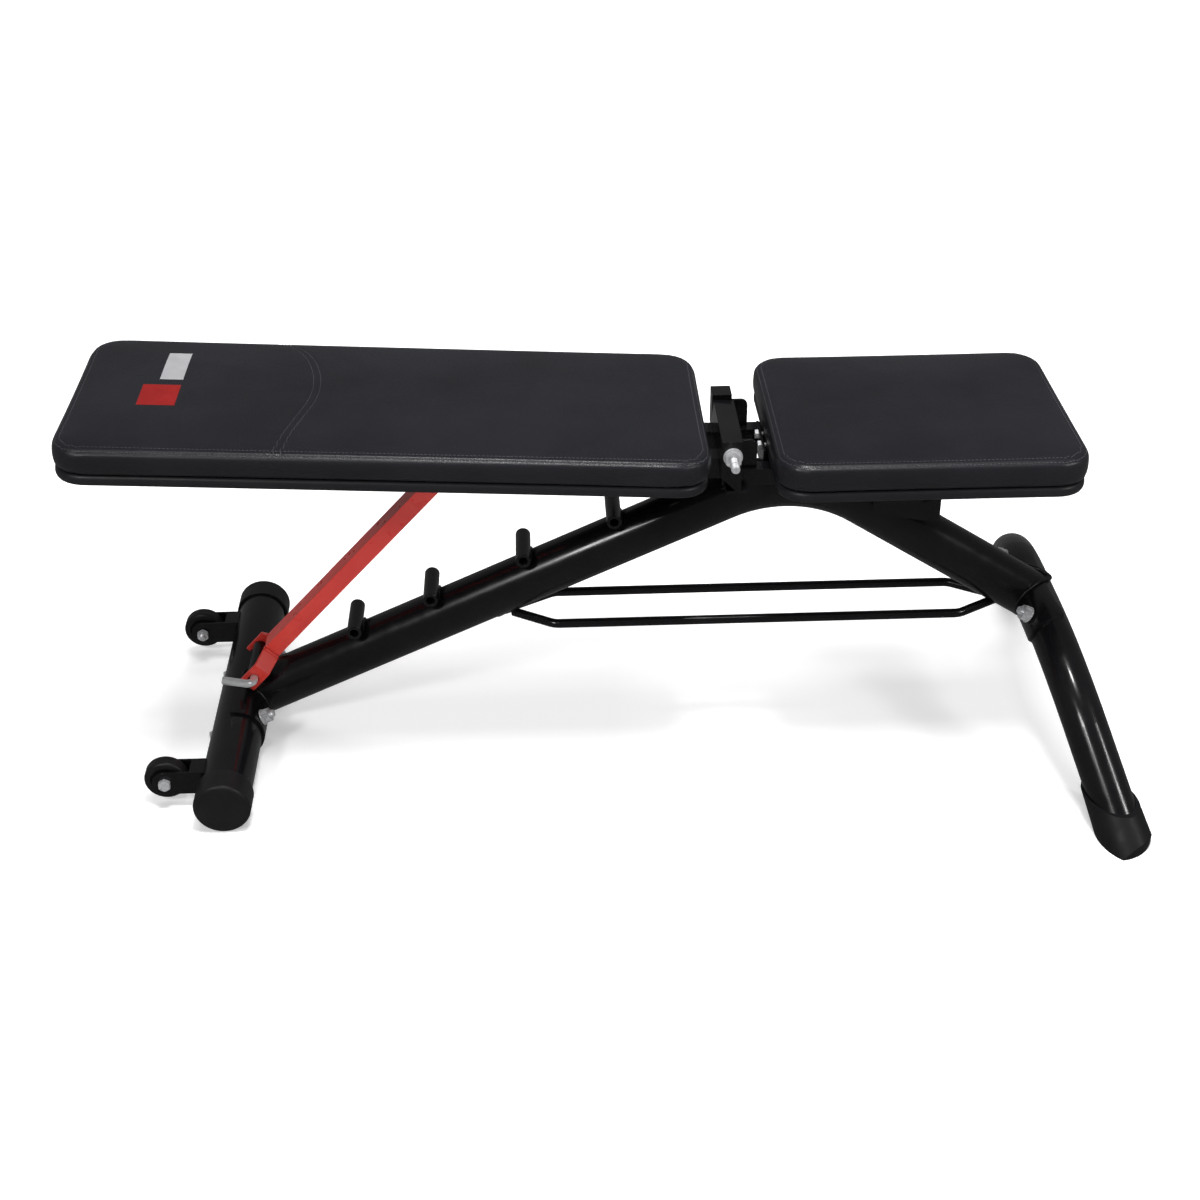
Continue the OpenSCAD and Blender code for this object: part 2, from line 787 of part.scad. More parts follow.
module seat_rivets() {
    color("#17171a") both_sides() for (p = rivet_places()) translate([p[0], 0, p[1]]) {
        bar_y(3, -30 - gap, -26.5);
        hex_y(8, -33, -30 - gap);
    }
}

module seat_board() {
    color("#1c1c20") difference() {
        rounded_plate(seat_x + 2, seat_len - 4, pad_w - 4, seat_z, board_t, 34);
        for (x = seat_screw_places(), s = [-1, 1])
            translate([x, s * (seat_rail_in + seat_rail_w / 2), seat_z - 1]) cylinder(r = 3.1, h = 10);
        for (s = [-1, 1]) translate([seat_x - 1, s * 14, seat_z + 7]) rotate([0, 90, 0]) cylinder(r = 2.6, h = 24);
    }
}

module seat_pad() {
    color("#26262b") rounded_plate(seat_x, seat_len, pad_w, seat_z + board_t + gap, cushion_t + 3, 36);
}

// Screws up through the seat rails, and two more through the end bracket
module seat_screws() {
    color("#b9bcc0") for (s = [-1, 1]) {
        for (x = seat_screw_places())
            translate([x, s * (seat_rail_in + seat_rail_w / 2), seat_z]) pad_screw(seat_rail_w + gap);
        translate([seat_x - 3.3, s * 14, seat_z + 7]) rotate([0, 90, 0]) {
            cylinder(r = 2.5, h = 22);
            translate([0, 0, -4]) cylinder(r = 5 / cos(30), h = 4, $fn = 6);
        }
    }
}

// Plastic plugs in the open ends of the rails
module back_rail_plugs() {
    color("#202022") both_sides()
        back_frame() translate([rail_rear - 3, -rail_in - rail_w, pad_under - rail_w]) {
            cube([3 - gap, rail_w, rail_w - gap]);
            translate([2, 2.1, 2.1]) cube([14, rail_w - 4.2, rail_w - 4.3]);
        }
}

module seat_rail_plugs() {
    color("#202022") both_sides()
        translate([seat_rail_end + 2 * gap, -seat_rail_in - seat_rail_w, seat_base_z]) {
            cube([3, seat_rail_w, seat_rail_w - gap]);
            translate([-13, 2.1, 2.1]) cube([14, seat_rail_w - 4.2, seat_rail_w - 4.3]);
        }
}

main_tube();
rear_saddle();
front_saddle();
rear_cross_tube();
rear_cap_left();
rear_cap_right();
front_leg_tube();
front_foot_left();
front_foot_right();
frame_bolts();
frame_nuts();
frame_washers();
wheel_fork_left();
wheel_fork_right();
wheel_left();
wheel_right();
wheel_bolts();
wheel_nuts();
sleeve_1();
sleeve_2();
sleeve_3();
sleeve_4();
sleeve_5();
lock_pin();
rack_rod_left();
rack_rod_right();
hinge_yoke();
hinge_bolt();
hinge_nut();
hinge_washers();
hinge_bushes();
hinge_sleeve();
hinge_cross_tube();
back_rail_left();
back_rail_right();
back_board();
back_pad();
back_screws();
strut_channel();
strut_ear_left();
strut_ear_right();
strut_bush();
strut_bolt();
strut_nut();
strut_spacers();
seat_rail_left();
seat_rail_right();
seat_side_plates();
seat_end_bracket();
seat_front_bracket();
seat_rivets();
seat_board();
seat_pad();
seat_screws();
back_rail_plugs();
seat_rail_plugs();
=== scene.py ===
"""Looks of an adjustable weight bench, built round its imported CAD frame. Lengths are in metres."""

import json
import math
import random

import bmesh
import bpy
from mathutils import Matrix, Vector
from mathutils.bvhtree import BVHTree
from mathutils.kdtree import KDTree


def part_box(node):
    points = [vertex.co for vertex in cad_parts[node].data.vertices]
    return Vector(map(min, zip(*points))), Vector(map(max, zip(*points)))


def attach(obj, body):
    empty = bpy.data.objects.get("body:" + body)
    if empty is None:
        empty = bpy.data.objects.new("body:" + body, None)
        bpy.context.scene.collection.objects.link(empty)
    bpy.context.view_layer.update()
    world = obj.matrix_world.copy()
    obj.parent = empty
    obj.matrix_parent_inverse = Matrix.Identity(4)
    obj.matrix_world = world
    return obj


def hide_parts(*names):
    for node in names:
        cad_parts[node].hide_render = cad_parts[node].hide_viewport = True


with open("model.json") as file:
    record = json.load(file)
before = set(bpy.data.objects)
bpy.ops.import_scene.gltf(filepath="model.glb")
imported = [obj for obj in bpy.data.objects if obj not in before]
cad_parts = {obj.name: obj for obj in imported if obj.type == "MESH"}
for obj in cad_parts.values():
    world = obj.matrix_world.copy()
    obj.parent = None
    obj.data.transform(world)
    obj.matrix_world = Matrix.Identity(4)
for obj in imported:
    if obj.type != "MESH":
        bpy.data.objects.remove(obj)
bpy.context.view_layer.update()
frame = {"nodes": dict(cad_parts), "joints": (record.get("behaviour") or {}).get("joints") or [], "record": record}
NODES = frame["nodes"]
JOINTS = {j["name"]: j for j in frame["joints"]}
MM = 0.001

# ---------------------------------------------------------------- materials


class Shader:
    """A material and short calls for the nodes used here."""

    def __init__(self, name, rough=0.5, metal=0.0, **sockets):
        self.mat = bpy.data.materials.new(name)
        self.mat.use_nodes = True
        self.tree = self.mat.node_tree
        self.bsdf = self.tree.nodes["Principled BSDF"]
        self.coords = self.tree.nodes.new("ShaderNodeTexCoord").outputs["Object"]
        self.set(Roughness=rough, Metallic=metal, **sockets)

    def set(self, **sockets):
        for name, value in sockets.items():
            self.bsdf.inputs[name.replace("_", " ")].default_value = value

    def node(self, kind, values=(), **props):
        n = self.tree.nodes.new("ShaderNode" + kind)
        for k, v in props.items():
            setattr(n, k, v)
        for k, v in dict(values).items():
            if isinstance(v, bpy.types.NodeSocket):
                self.tree.links.new(v, n.inputs[k])
            else:
                n.inputs[k].default_value = v
        return n

    def stretched(self, scale):
        return self.node("Mapping", {"Vector": self.coords, "Scale": scale}).outputs[0]

    def noise(self, scale, detail=3.0, rough=0.5, at=None):
        values = {"Vector": at or self.coords, "Scale": scale, "Detail": detail, "Roughness": rough}
        return self.node("TexNoise", values).outputs[0]

    def cells(self, scale, feature="F1", at=None):
        values = {"Vector": at or self.coords, "Scale": scale}
        return self.node("TexVoronoi", values, feature=feature).outputs["Distance"]

    def math(self, op, a, b=0.0, c=0.0):
        n = self.node("Math", operation=op)
        for socket, v in zip(n.inputs, (a, b, c)):
            if isinstance(v, bpy.types.NodeSocket):
                self.tree.links.new(v, socket)
            else:
                socket.default_value = v
        return n.outputs[0]

    def span(self, value, low, high, to_low, to_high):
        values = {0: value, 1: low, 2: high, 3: to_low, 4: to_high}
        return self.node("MapRange", values).outputs[0]

    def blend(self, factor, a, b):
        n = self.node("Mix", data_type="RGBA")
        for socket, v in ((n.inputs[0], factor), (n.inputs[6], a), (n.inputs[7], b)):
            if isinstance(v, bpy.types.NodeSocket):
                self.tree.links.new(v, socket)
            else:
                socket.default_value = v
        return n.outputs[2]

    def link(self, value, socket):
        self.tree.links.new(value, self.bsdf.inputs[socket])

    def bump(self, height, distance, strength=1.0, after=None):
        values = {"Height": height, "Distance": distance, "Strength": strength}
        if after is not None:
            values["Normal"] = after
        n = self.node("Bump", values)
        self.link(n.outputs[0], "Normal")
        return n.outputs[0]


def rgb(r, g, b):
    return (r, g, b, 1.0)


def leather(name, dark, light, rough):
    """Black artificial leather: pebbled grain, fine creases and a faint cloudiness."""
    s = Shader(name, rough)
    cloud = s.noise(9.0, 4.0)
    s.link(s.blend(s.span(cloud, 0.35, 0.65, 0.0, 1.0), dark, light), "Base Color")
    pebble = s.cells(620.0, "SMOOTH_F1")
    crease = s.cells(340.0, "DISTANCE_TO_EDGE")
    fine = s.noise(1500.0, 2.0)
    low = s.span(crease, 0.0, 0.12, 0.0, 1.0)
    grain = s.math("MULTIPLY_ADD", pebble, -0.6, s.math("MULTIPLY", low, 0.5))
    grain = s.math("MULTIPLY_ADD", fine, 0.25, grain)
    s.link(s.span(s.math("ADD", low, s.noise(40.0)), 0.6, 1.6, rough + 0.08, rough - 0.05), "Roughness")
    worn = s.bump(s.noise(26.0, 3.0, 0.6), 0.9 * MM, 0.22)
    s.bump(grain, 0.16 * MM, 0.55, worn)
    s.set(Specular_IOR_Level=0.4)
    return s.mat


def powder_coat(name, dark, light, rough, coat=0.5, level=0.3):
    """Glossy powder coat with a faint orange peel and a few dust nibs."""
    s = Shader(name, rough, Coat_Weight=coat, Coat_Roughness=0.06)
    s.link(s.blend(s.span(s.noise(14.0, 3.0), 0.35, 0.65, 0.0, 1.0), dark, light), "Base Color")
    s.link(s.span(s.noise(60.0, 4.0), 0.3, 0.7, rough - 0.04, rough + 0.06), "Roughness")
    peel = s.bump(s.noise(330.0, 2.0, 0.4), 0.05 * MM, 0.12)
    nibs = s.span(s.cells(70.0), 0.0, 0.05, 1.0, 0.0)
    s.bump(nibs, 0.08 * MM, 0.25, peel)
    s.set(Specular_IOR_Level=level)
    return s.mat


def moulded(name, dark, light, rough, grain):
    """Moulded plastic or rubber with a spark-eroded texture."""
    s = Shader(name, rough)
    s.link(s.blend(s.span(s.noise(30.0, 4.0), 0.3, 0.7, 0.0, 1.0), dark, light), "Base Color")
    s.link(s.span(s.noise(90.0, 3.0), 0.3, 0.7, rough - 0.06, rough + 0.08), "Roughness")
    flow = s.bump(s.noise(18.0, 2.0), 0.5 * MM, 0.15)
    s.bump(s.noise(grain, 3.0, 0.6), 0.1 * MM, 0.35, flow)
    s.set(Specular_IOR_Level=0.25)
    return s.mat


def plated(name, dark, light, rough, brush=(40.0, 900.0, 40.0), metal=1.0):
    """Plated steel with fine turning marks and slight clouding of the plate."""
    s = Shader(name, rough, metal)
    s.link(s.blend(s.span(s.noise(160.0, 4.0), 0.3, 0.7, 0.0, 1.0), dark, light), "Base Color")
    marks = s.noise(1.0, 3.0, 0.6, s.stretched(brush))
    s.link(s.span(marks, 0.3, 0.7, rough - 0.05, rough + 0.1), "Roughness")
    s.bump(marks, 0.03 * MM, 0.3)
    return s.mat


def woven(name, dark, light):
    """Thin black dust cover with a fine felted weave."""
    s = Shader(name, 0.9)
    warp = s.noise(1.0, 2.0, 0.5, s.stretched((900.0, 160.0, 400.0)))
    weft = s.noise(1.0, 2.0, 0.5, s.stretched((160.0, 900.0, 400.0)))
    thread = s.math("MAXIMUM", warp, weft)
    s.link(s.blend(s.span(thread, 0.4, 0.7, 0.0, 1.0), dark, light), "Base Color")
    s.bump(thread, 0.25 * MM, 0.6)
    return s.mat


FRAME = powder_coat("gloss black coat", rgb(0.0032, 0.0031, 0.0038), rgb(0.0048, 0.0047, 0.0055), 0.2, 0.12)
WELD = powder_coat("coated weld", rgb(0.0035, 0.0035, 0.004), rgb(0.0055, 0.0055, 0.006), 0.24, 0.12)
RED = powder_coat("gloss red paint", rgb(0.5, 0.030, 0.024), rgb(0.56, 0.040, 0.030), 0.3, 0.3)
COVER = leather("artificial leather", rgb(0.0066, 0.0067, 0.0088), rgb(0.0094, 0.0096, 0.0124), 0.36)
BAND = leather("leather round the board", rgb(0.0070, 0.0072, 0.0092), rgb(0.0095, 0.0097, 0.0122), 0.42)
# The thread's colour is partly its own dark tone and partly painted highlight: its lighter, bluish tone stands in
# for the sheen the stitches catch.
THREAD_AND_PAINTED_SHEEN = leather("sewing thread and painted sheen", rgb(0.035, 0.035, 0.042), rgb(0.06, 0.06, 0.068), 0.5)
LINING = woven("dust cover", rgb(0.006, 0.006, 0.006), rgb(0.02, 0.02, 0.021))
PLASTIC = moulded("moulded plastic", rgb(0.0060, 0.0060, 0.0066), rgb(0.0085, 0.0085, 0.0092), 0.42, 900.0)
TYRE = moulded("wheel plastic", rgb(0.0055, 0.0055, 0.006), rgb(0.008, 0.008, 0.0086), 0.38, 700.0)
RUBBER = moulded("rubber", rgb(0.0038, 0.0038, 0.0044), rgb(0.0062, 0.0062, 0.007), 0.5, 1100.0)
# Zinc and chrome keep a metal value under 1, so part of their pale colour shows as diffuse brightness: that share
# is painted reflection, standing in for the bright surroundings real plating mirrors.
ZINC_AND_PAINTED_REFLECTION = plated("zinc plate and painted reflection", rgb(0.50, 0.51, 0.53), rgb(0.68, 0.68, 0.69), 0.26, metal=0.55)
CHROME_AND_PAINTED_REFLECTION = plated("chrome", rgb(0.70, 0.71, 0.72), rgb(0.80, 0.80, 0.81), 0.1, metal=0.6)
NYLON = moulded("nylon", rgb(0.55, 0.54, 0.50), rgb(0.63, 0.62, 0.58), 0.45, 500.0)
GREY_INK = moulded("grey print", rgb(0.24, 0.24, 0.25), rgb(0.30, 0.30, 0.31), 0.5, 800.0)
RED_INK = moulded("red print", rgb(0.17, 0.007, 0.007), rgb(0.21, 0.010, 0.009), 0.5, 800.0)

# ---------------------------------------------------------------- CAD nodes that stay

SLOT_LOOK = {
    "frame_paint": FRAME,
    "strut_paint": RED,
    "foot_rubber": RUBBER,
    "cap_plastic": PLASTIC,
    "wheel_plastic": TYRE,
    "zinc_fixing": ZINC_AND_PAINTED_REFLECTION,
    "pin_chrome": CHROME_AND_PAINTED_REFLECTION,
    "bush_plastic": NYLON,
    "cushion_cover": COVER,
    "board_cover": BAND,
}
EDGE_ROUND = {
    "front_foot": 2.2,
    "rear_cap": 0.8,
    "wheel_l": 0.6,
    "wheel_r": 0.6,
    "rail_plugs": 0.8,
    "strut_": 0.9,
}


def round_edges(obj, width, angle=32.0):
    """Worn, rounded edges: a small bevel on every sharp edge, with flat faces kept flat."""
    weld = obj.modifiers.new("weld", "WELD")
    weld.merge_threshold = 0.01 * MM
    flat = obj.modifiers.new("flat faces", "DECIMATE")
    flat.decimate_type = "DISSOLVE"
    flat.angle_limit = math.radians(0.4)
    bevel = obj.modifiers.new("round", "BEVEL")
    bevel.width = width
    bevel.segments = 2
    bevel.limit_method = "ANGLE"
    bevel.angle_limit = math.radians(angle)
    bevel.use_clamp_overlap = True
    normals = obj.modifiers.new("normals", "WEIGHTED_NORMAL")
    normals.keep_sharp = False
    normals.weight = 60


for entry in frame["record"]["subparts"]:
    node = NODES[entry["node"]]
    node.data.materials.clear()
    node.data.materials.append(SLOT_LOOK[entry["material_slot"]])
    width = next((w for key, w in EDGE_ROUND.items() if key in entry["node"]), 0.5)
    round_edges(node, width * MM)

# ---------------------------------------------------------------- mesh helpers


def add_object(name, bm, mat, body, matrix=None, smooth=40.0):
    """Turns a bmesh into a piece that rides on a CAD body."""
    bmesh.ops.recalc_face_normals(bm, faces=bm.faces)
    mesh = bpy.data.meshes.new(name)
    bm.to_mesh(mesh)
    bm.free()
    mesh.shade_smooth()
    if smooth:
        mesh.set_sharp_from_angle(angle=math.radians(smooth))
    obj = bpy.data.objects.new(name, mesh)
    bpy.context.scene.collection.objects.link(obj)
    if matrix is not None:
        obj.matrix_world = matrix
    for m in mat if isinstance(mat, (list, tuple)) else [mat]:
        mesh.materials.append(m)
    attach(obj, body)
    return obj


def loft(bm, rings, closed=True, caps=True):
    """Skins rings of points that all have the same count."""
    rows = [[bm.verts.new(p) for p in ring] for ring in rings]
    count = len(rows[0])
    for a, b in zip(rows, rows[1:]):
        for i in range(count if closed else count - 1):
            j = (i + 1) % count
            bm.faces.new((a[i], a[j], b[j], b[i]))
    if caps:
        bm.faces.new(rows[0])
        bm.faces.new(rows[-1])
    return rows


def circle(radius, z, count, matrix=None):
    """A ring of points round local Z, with radius a number or a function of the angle."""
    points = []
    for i in range(count):
        a = 2 * math.pi * i / count
        r = radius(a) if callable(radius) else radius
        p = Vector((r * math.cos(a), r * math.sin(a), z(a) if callable(z) else z))
        points.append(matrix @ p if matrix else p)
    return points


def frame_at(origin, along):
    """The matrix that puts local Z along a direction at a point."""
    turn = Vector(along).normalized().to_track_quat("Z", "Y")
    return Matrix.Translation(origin) @ turn.to_matrix().to_4x4()


def smooth_tube(bm, path, radius, sides=10, closed=False, caps=True):
    """A round tube along a path. radius is a number or a function of the point's index."""
    n = len(path)
    rings = []
    normal = None
    for i, p in enumerate(path):
        a = path[(i - 1) % n] if closed or i else path[0]
        b = path[(i + 1) % n] if closed or i < n - 1 else path[-1]
        t = (b - a).normalized()
        if normal is None:
            normal = t.orthogonal().normalized()
        normal = (normal - t * normal.dot(t)).normalized()
        side = t.cross(normal)
        r = radius(i) if callable(radius) else radius
        ring = []
        for k in range(sides):
            w = 2 * math.pi * k / sides
            ring.append(p + r * (math.cos(w) * normal + math.sin(w) * side))
        rings.append(ring)
    if closed:
        rings.append(rings[0])
        loft(bm, rings, caps=False)
        bmesh.ops.remove_doubles(bm, verts=bm.verts, dist=0.001 * MM)
    else:
        loft(bm, rings, caps=caps)


# ---------------------------------------------------------------- bolts and nuts


def hex_radius(flats):
    """The radius of a hexagon outline at an angle."""
    def radius(a):
        part = (a + math.pi / 6) % (math.pi / 3) - math.pi / 6
        return flats / 2 / math.cos(part)
    return radius


def hex_body(bm, m, flats, height, bore=0.0, both=False):
    """A hexagon head or nut whose corners are turned off by a chamfer cone."""
    count = 48
    edge = hex_radius(flats)
    crown = flats / 2 * 0.97
    drop = lambda a: (edge(a) - crown) * 0.5
    rings = []
    inner = bore or 0.0
    if both:
        rings.append(circle(crown, 0.0, count, m))
        rings.append(circle(edge, drop, count, m))
    else:
        rings.append(circle(edge, 0.0, count, m))
    rings.append(circle(edge, lambda a: height - drop(a), count, m))
    rings.append(circle(crown, height, count, m))
    if inner:
        rings.append(circle(inner + 0.5 * MM, height, count, m))
        rings.append(circle(inner, height - 0.5 * MM, count, m))
        rings.append(circle(inner, 0.0, count, m))
        rings.append(rings[0])
        loft(bm, rings, caps=False)
        bmesh.ops.remove_doubles(bm, verts=bm.verts, dist=0.001 * MM)
    else:
        rings.append(circle(crown * 0.9, height + 0.15 * MM, count, m))
        loft(bm, rings)


def threaded_rod(bm, m, radius, plain, end, pitch):
    """A shank from 0 to plain and a screw thread from there to end, with a chamfered tip."""
    count = 36
    depth = 0.55 * pitch
    rings = [circle(radius, 0.0, count, m), circle(radius, plain - pitch, count, m)]
    steps = int((end - plain) / pitch * 7)
    for k in range(steps + 1):
        z = plain + (end - plain) * k / steps
        fade = min(1.0, (z - plain) / pitch)
        tip = max(0.0, 1.0 - (end - z) / (1.2 * pitch)) * depth * 1.1

        def thread(a, z=z, fade=fade, tip=tip):
            phase = (z / pitch - a / (2 * math.pi)) % 1.0
            wave = abs(2 * phase - 1)
            cut = min(1.0, max(0.0, wave * 1.25 - 0.12))
            return radius - depth * cut * fade * 0.8 - tip

        rings.append(circle(thread, z, count, m))
    loft(bm, rings)


def bolt_piece(name, node, body, places):
    """Bolts that stand for a CAD node.

    Each place is (point under the head, direction, radius, flats, head height, length, thread length).
    """
    bm = bmesh.new()
    for origin, along, radius, flats, head, length, thread in places:
        m = frame_at(origin, along)
        back = m @ Matrix.Rotation(math.pi, 4, "X")
        hex_body(bm, back, flats, head)
        threaded_rod(bm, m, radius, length - thread, length, max(1.25, radius / MM * 0.29) * MM)
    obj = add_object(name, bm, ZINC_AND_PAINTED_REFLECTION, body, smooth=35.0)
    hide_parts(node)
    return obj


def nut_piece(name, node, body, places):
    """Nuts that stand for a CAD node. Each place is (face point, direction, bore radius, flats, height)."""
    bm = bmesh.new()
    for origin, along, bore, flats, height in places:
        part = bmesh.new()
        hex_body(part, frame_at(origin, along), flats, height, bore, True)
        mesh = bpy.data.meshes.new("part")
        part.to_mesh(mesh)
        part.free()
        bm.from_mesh(mesh)
        bpy.data.meshes.remove(mesh)
    obj = add_object(name, bm, ZINC_AND_PAINTED_REFLECTION, body, smooth=35.0)
    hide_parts(node)
    return obj


def mid(node):
    low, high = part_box(node)
    return (low + high) / 2


HINGE = Vector(JOINTS["backrest_hinge"]["pos_m"])
STRUT_TOP = Vector(JOINTS["strut_swing"]["pos_m"])
Y = Vector((0, 1, 0))

# Bolt sizes: radius, width across the flats, and the bore of the nut
M10_R, M10_FLATS, M10_BORE = 5 * MM, 17 * MM, 5.02 * MM
M8_R, M8_FLATS, M8_BORE = 4 * MM, 13 * MM, 4.02 * MM
M10_HEAD = 6.5 * MM
M8_HEAD, M8_NUT = 5.5 * MM, 6.5 * MM


def cross_bolt(bolt_node, nut_node, body, axis, thread):
    """A long M10 bolt across the bench: its head is on the left and its thread ends on the right."""
    low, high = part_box(bolt_node)
    head = Vector((axis.x, high.y - M10_HEAD, axis.z))
    length = high.y - low.y - M10_HEAD
    place = (head, -Y, M10_R, M10_FLATS, M10_HEAD, length, thread)
    bolt_piece(bolt_node + "_detail", bolt_node, body, [place])
    low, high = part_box(nut_node)
    place = (Vector((axis.x, high.y, axis.z)), -Y, M10_BORE, M10_FLATS, high.y - low.y)
    nut_piece(nut_node + "_detail", nut_node, body, [place])


cross_bolt("hinge_bolt", "hinge_nut", "frame", HINGE, 44 * MM)
cross_bolt("strut_bolt", "strut_nut", "backrest", STRUT_TOP, 20 * MM)

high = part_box("wheel_bolts")[1]
wheel_axis = Vector(JOINTS["wheel_left_spin"]["pos_m"])
nut_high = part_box("wheel_nuts")[1]
fork_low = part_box("wheel_fork_left")[0]
bolts, nuts = [], []
for side in (1, -1):
    head = Vector((wheel_axis.x, side * (high.y - M8_HEAD), wheel_axis.z))
    length = abs(head.y) - fork_low.y + 14 * MM
    bolts.append((head, -side * Y, M8_R, M8_FLATS, M8_HEAD, length, 12 * MM))
    face = Vector((wheel_axis.x, side * (nut_high.y - 2 * MM), wheel_axis.z))
    nuts.append((face, -side * Y, M8_BORE, M8_FLATS, M8_NUT))
bolt_piece("wheel_bolts_detail", "wheel_bolts", "frame", bolts)
nut_piece("wheel_nuts_detail", "wheel_nuts", "frame", nuts)

# The two saddles: where each cross tube meets its arm, and the direction up along the arm
REAR_SLOPE, FRONT_SLOPE, LEG_LEAN = math.radians(24.7), math.radians(32.6), math.radians(19.3)
REAR = mid("rear_cross_tube")
LEG = Vector((520.3, 0, 152.4)) * MM
REAR_ARM = Vector((math.cos(REAR_SLOPE), 0, math.sin(REAR_SLOPE)))
FRONT_ARM = Vector((-math.cos(FRONT_SLOPE), 0, math.sin(FRONT_SLOPE)))
TUBE_R, LEG_R = 30 * MM, 25 * MM
BEND_CLEAR = 1.6 * MM  # room under the front bolt heads and nuts, for the bend of the leg
LEG_DROP = 1.6 * MM * Vector((math.sin(LEG_LEAN), 0, -math.cos(LEG_LEAN)))
SADDLES = (
    (REAR, REAR_ARM, TUBE_R, 65 * MM),
    (LEG + LEG_DROP, FRONT_ARM, LEG_R + BEND_CLEAR, 68 * MM),
)
bolts, nuts = [], []
for middle, arm, radius, place in SADDLES:
    for side in (1, -1):
        centre = middle + side * place * Y
        head = centre - arm * (radius + 0.1 * MM)
        bolts.append((head, arm, M10_R, M10_FLATS, 6 * MM, 2 * radius + 19 * MM, 15 * MM))
        nuts.append((centre + arm * (radius + 5.4 * MM), arm, M10_BORE, M10_FLATS, 8 * MM))
bolt_piece("frame_bolts_detail", "frame_bolts", "frame", bolts)
nut_piece("frame_nuts_detail", "frame_nuts", "frame", nuts)

# ---------------------------------------------------------------- weld beads


def bead(bm, path, radius, closed=False, pitch=3.2 * MM):
    """A weld bead: a thin tube with the ripples of a hand weld."""
    pts = [p for p, _ in resample(path, pitch / 5, closed)]
    ripple = lambda i: radius * (1 + 0.14 * abs(math.sin(math.pi * i / 5)) - 0.05 * math.sin(i * 0.37))
    smooth_tube(bm, pts, ripple, 8, closed)


def tube_on_tube(start, along, radius, axis_point, axis, reach, count=72):
    """The line where a tube running along a direction meets the wall of another tube."""
    along, axis = along.normalized(), axis.normalized()
    n = along.orthogonal().normalized()
    b = along.cross(n)
    points = []
    for i in range(count):
        w = 2 * math.pi * i / count
        p = start + radius * (math.cos(w) * n + math.sin(w) * b)
        q = p - axis_point
        q -= axis * q.dot(axis)
        d = along - axis * along.dot(axis)
        half, off = q.dot(d) / d.dot(d), (q.dot(q) - reach * reach) / d.dot(d)
        root = max(half * half - off, 0.0)
        points.append(p + along * (-half - math.sqrt(root)))
    return points


def resample(points, step, closed):
    """Evenly spaced points along a polyline, with the tangent at each."""
    pts = points + [points[0]] if closed else points
    lengths = [0.0]
    for a, b in zip(pts, pts[1:]):
        lengths.append(lengths[-1] + (b - a).length)
    count = max(2, int(lengths[-1] / step))
    out = []
    k = 0
    for i in range(count):
        s = lengths[-1] * i / count
        while lengths[k + 1] < s:
            k += 1
        t = (s - lengths[k]) / max(lengths[k + 1] - lengths[k], 1e-9)
        out.append((pts[k].lerp(pts[k + 1], t), (pts[k + 1] - pts[k]).normalized()))
    return out


bm = bmesh.new()
bead(bm, tube_on_tube(REAR + REAR_ARM * 0.2, -REAR_ARM, TUBE_R, REAR, Y, TUBE_R + 3.6 * MM), 2.2 * MM, True)
bead(bm, tube_on_tube(LEG + FRONT_ARM * 0.2, -FRONT_ARM, TUBE_R, LEG, Y, LEG_R + 4.6 * MM), 2.2 * MM, True)
UP_ARM = Vector((-REAR_ARM.z, 0, REAR_ARM.x))
for k in range(1, 6):
    centre = mid("sleeve_%d" % k)
    touch = centre - UP_ARM * 9 * MM
    for side in (1, -1):
        path = []
        for i in range(-14, 15):
            fall = math.sqrt(TUBE_R ** 2 - (i * MM) ** 2) - TUBE_R
            path.append(touch + side * REAR_ARM * 5 * MM + UP_ARM * (fall + 0.9 * MM) + Y * i * MM)
        bead(bm, path, 1.9 * MM)
ROD_Z = mid("rack_rod_right").z
ROD_TURN, ROD_SLOPE = 22 * MM, math.radians(31)
for side in (1, -1):
    y = side * (36 * MM - ROD_TURN * (1 - math.cos(ROD_SLOPE)))
    for x, sign, arm, point in ((414 * MM, 1, FRONT_ARM, LEG), (-62 * MM, -1, REAR_ARM, REAR)):
        start = Vector((x + sign * ROD_TURN * math.sin(ROD_SLOPE), y, ROD_Z))
        along = Vector((sign * math.cos(ROD_SLOPE), -side * math.sin(ROD_SLOPE), 0))
        loop = tube_on_tube(start, along, 5.6 * MM, point, arm, TUBE_R + 0.4 * MM, 28)
        bead(bm, loop, 1.5 * MM, True, 2.6 * MM)
block_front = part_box("hinge_yoke")[1].x
BLOCK_HALF = 22.5 * MM
for side in (1, -1):
    path = []
    for i in range(9):
        x = block_front - 24 * MM + i * 3 * MM
        axis_z = REAR.z + (x - REAR.x) * math.tan(REAR_SLOPE)
        lift = math.sqrt(TUBE_R ** 2 - BLOCK_HALF ** 2) / math.cos(REAR_SLOPE)
        path.append(Vector((x, side * 22.8 * MM, axis_z + lift + 0.5 * MM)))
    bead(bm, path, 2.0 * MM)
add_object("frame_welds", bm, WELD, "frame", smooth=60.0)

# each ear of the strut is welded across its end to the channel
PIN = mid("sleeve_1")
STRUT = (STRUT_TOP - PIN).normalized()
ACROSS = Vector((-STRUT.z, 0, STRUT.x))
bm = bmesh.new()
for side in (1, -1):
    corner = PIN + STRUT * 30.4 * MM + Y * side * 16.2 * MM
    bead(bm, [corner + ACROSS * k * MM for k in range(-10, 11)], 1.7 * MM)
    bead(bm, [corner + ACROSS * 10.2 * MM - Y * side * k * MM for k in range(0, 4)], 1.2 * MM)
add_object("strut_welds", bm, RED, "strut", smooth=60.0)

# ---------------------------------------------------------------- pads

ROUND = 38 * MM
BOARD = 13 * MM


class Pad:
    """The sizes of one pad in its own frame: X along it, Z up, and the origin under its middle."""

    def __init__(self, name, body, node, board, matrix, length, width, height):
        self.name, self.body, self.node, self.board = name, body, node, board
        self.matrix, self.half, self.height = matrix, Vector((length / 2, width / 2)), height


